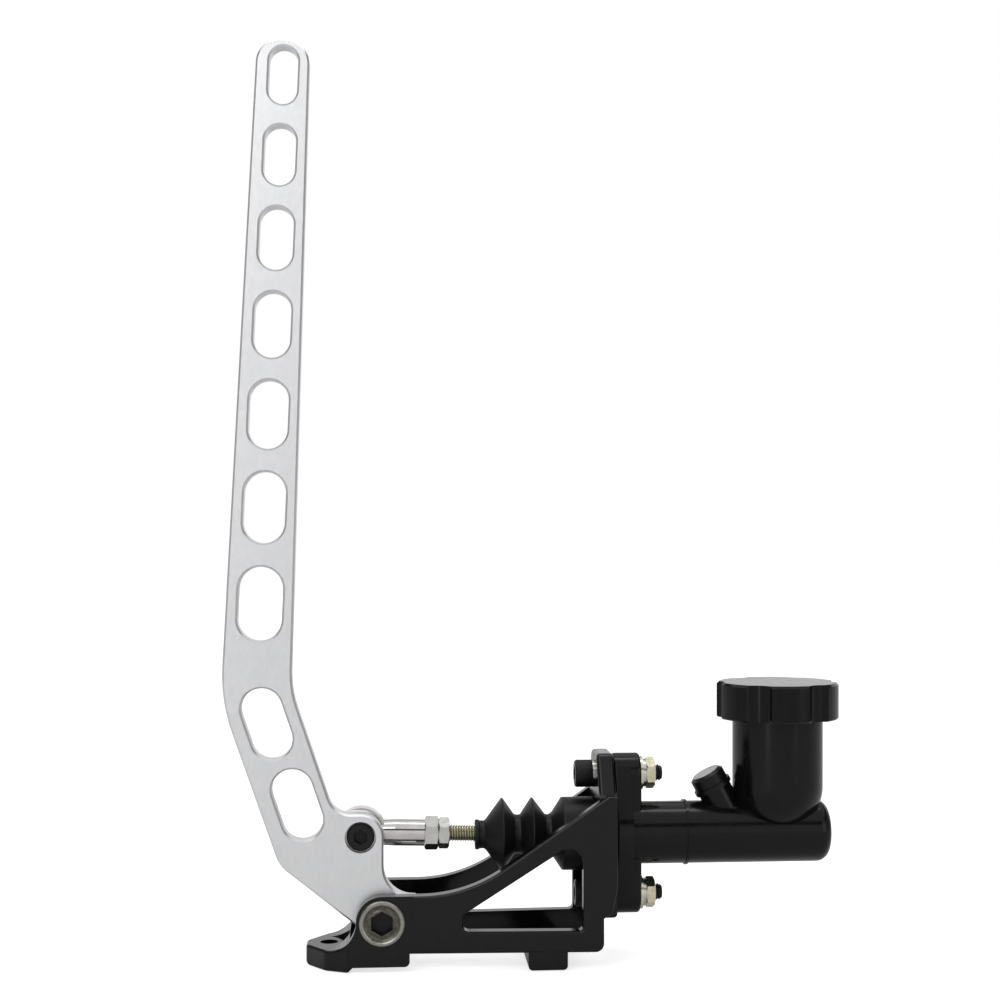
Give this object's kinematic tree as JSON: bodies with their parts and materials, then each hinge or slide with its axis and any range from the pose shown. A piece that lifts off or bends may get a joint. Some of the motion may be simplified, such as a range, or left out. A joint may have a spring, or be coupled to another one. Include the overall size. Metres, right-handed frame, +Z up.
{
  "type": "parking brake lever",
  "caption": "Upright hydraulic parking brake: a tall slotted lever in a cast frame pushes the piston of a master cylinder with its own screw-capped reservoir.",
  "frame": {"origin": "centre of the frame's front fixing hole, on the plane that the feet stand on", "axes": "+X from the lever along the cylinder, +Y across to the side away from the lever plate, +Z up"},
  "size_m": [0.2925, 0.0638, 0.4318],
  "materials": {
    "lever_alloy": "satin clear anodised",
    "frame_black": "satin black coat on cast alloy",
    "cylinder_black": "satin black coat on cast alloy",
    "cap_black": "gloss black moulding",
    "rubber_black": "matt black rubber",
    "black_steel": "black oxide",
    "zinc_steel": "zinc plated",
    "pivot_zinc": "dull olive zinc",
    "yellow_zinc": "yellow zinc",
    "chrome_steel": "bright plated",
    "spacer_steel": "turned steel",
    "spring_steel": "spring steel",
    "bronze": "sintered bronze",
    "white_plastic": "natural nylon",
    "plug_plastic": "light grey moulding",
    "piston_alloy": "hard anodised"
  },
  "bodies": {
    "base": {"frame": "frame_black", "pivot_bolt": "pivot_zinc", "pivot_washer": "zinc_steel", "pivot_nut": "zinc_steel", "pivot_spacer": "spacer_steel", "master_cylinder_body": "cylinder_black", "boot": "rubber_black", "rod_retainer": "zinc_steel", "snap_ring": "black_steel", "return_spring": "spring_steel", "valve_seat": "piston_alloy", "inlet_valve": "spacer_steel", "outlet_plug": "plug_plastic", "flange_bolts": "black_steel", "flange_head_washers": "black_steel", "flange_washers": "zinc_steel", "flange_spring_washers": "zinc_steel", "flange_nuts": "zinc_steel"},
    "lever_arm": {"lever": "lever_alloy", "pivot_bush": "bronze", "thrust_washers": "white_plastic", "rod_pin_bolt": "black_steel", "rod_pin_washer": "zinc_steel", "rod_pin_nut": "zinc_steel", "rod_end_ball": "chrome_steel"},
    "link": {"rod_end_body": "chrome_steel", "jam_nut": "zinc_steel", "push_rod": "yellow_zinc"},
    "piston_group": {"piston": "piston_alloy", "primary_cup": "rubber_black", "secondary_seal": "rubber_black", "spring_retainer": "spacer_steel"},
    "diaphragm": {"cap_diaphragm": "rubber_black"},
    "cap": {"reservoir_cap": "cap_black"}
  },
  "joints": [
    {"name": "lever_pivot", "type": "hinge", "parent": "base", "child": "lever_arm", "pos_m": [0.025, 0, 0.0225], "axis": [0, 1, 0], "range_deg": [0, 27], "stiffness_Nm_per_rad": 2.3, "springref_deg": -38.96, "deforming": ["boot"]},
    {"name": "rod_pivot", "type": "hinge", "parent": "lever_arm", "child": "link", "pos_m": [0.015, 0, 0.0607], "axis": [0, 1, 0], "range_deg": [-27.2, 0.2]},
    {"name": "piston_slide", "type": "slide", "parent": "base", "child": "piston_group", "axis": [1, 0, 0], "range_m": [-0.0001, 0.0186], "deforming": ["return_spring"]},
    {"name": "cap_lift", "type": "slide", "parent": "base", "child": "diaphragm", "axis": [0, 0, 1], "range_m": [0, 0.0127]},
    {"name": "cap_turn", "type": "hinge", "parent": "diaphragm", "child": "cap", "pos_m": [0.2153, 0, 0.122], "axis": [0, 0, 1], "range_deg": [0, 1080]}
  ],
  "couplings": [
    {"joint": "rod_pivot", "follows": "lever_pivot", "ratio": -1},
    {"joint": "piston_slide", "follows": "lever_pivot", "m_per_rad": 0.03912},
    {"joint": "cap_lift", "follows": "cap_turn", "m_per_rad": 0.00066845}
  ]
}
